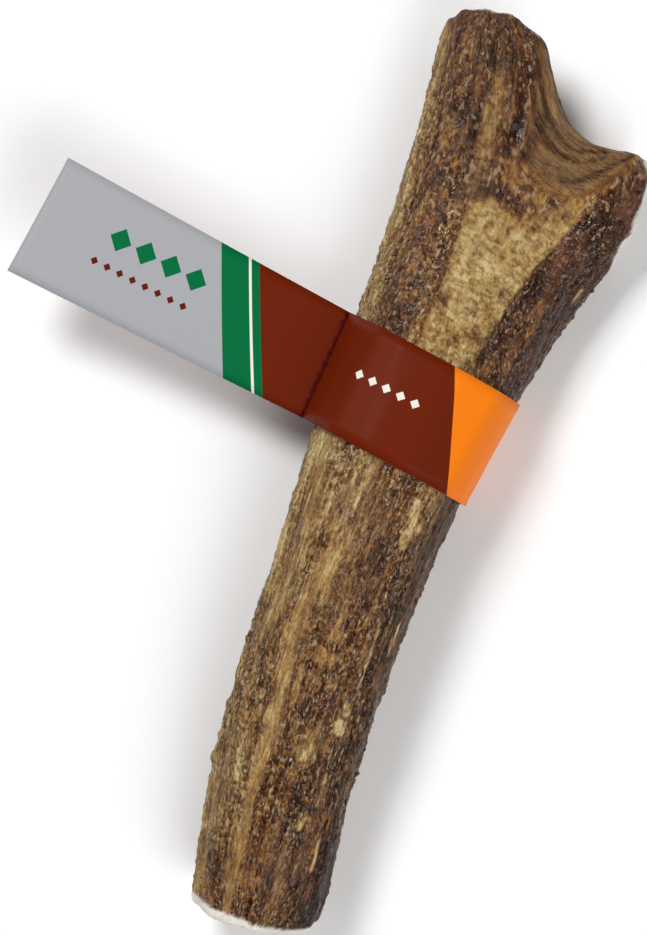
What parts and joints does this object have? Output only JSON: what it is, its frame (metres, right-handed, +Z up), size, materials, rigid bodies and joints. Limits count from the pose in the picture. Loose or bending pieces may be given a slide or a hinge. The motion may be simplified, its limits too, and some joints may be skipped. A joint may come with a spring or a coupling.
{
  "type": "elk antler chew",
  "caption": "Sawn length of forked elk antler lying on its side, with rough brown bark, cut bone ends and a plain printed card band.",
  "frame": {"origin": "on the surface that the antler lies on, under the middle of the whole part's box", "axes": "+Y along the antler from its sawn base to its sawn top; +X towards the side tine; +Z up"},
  "size_m": [0.149, 0.2364, 0.0383],
  "materials": {
    "antler": "satin",
    "card": "satin"
  },
  "bodies": {
    "root": {"main_beam": "antler", "side_tine": "antler", "card_band": "card"}
  },
  "joints": []
}
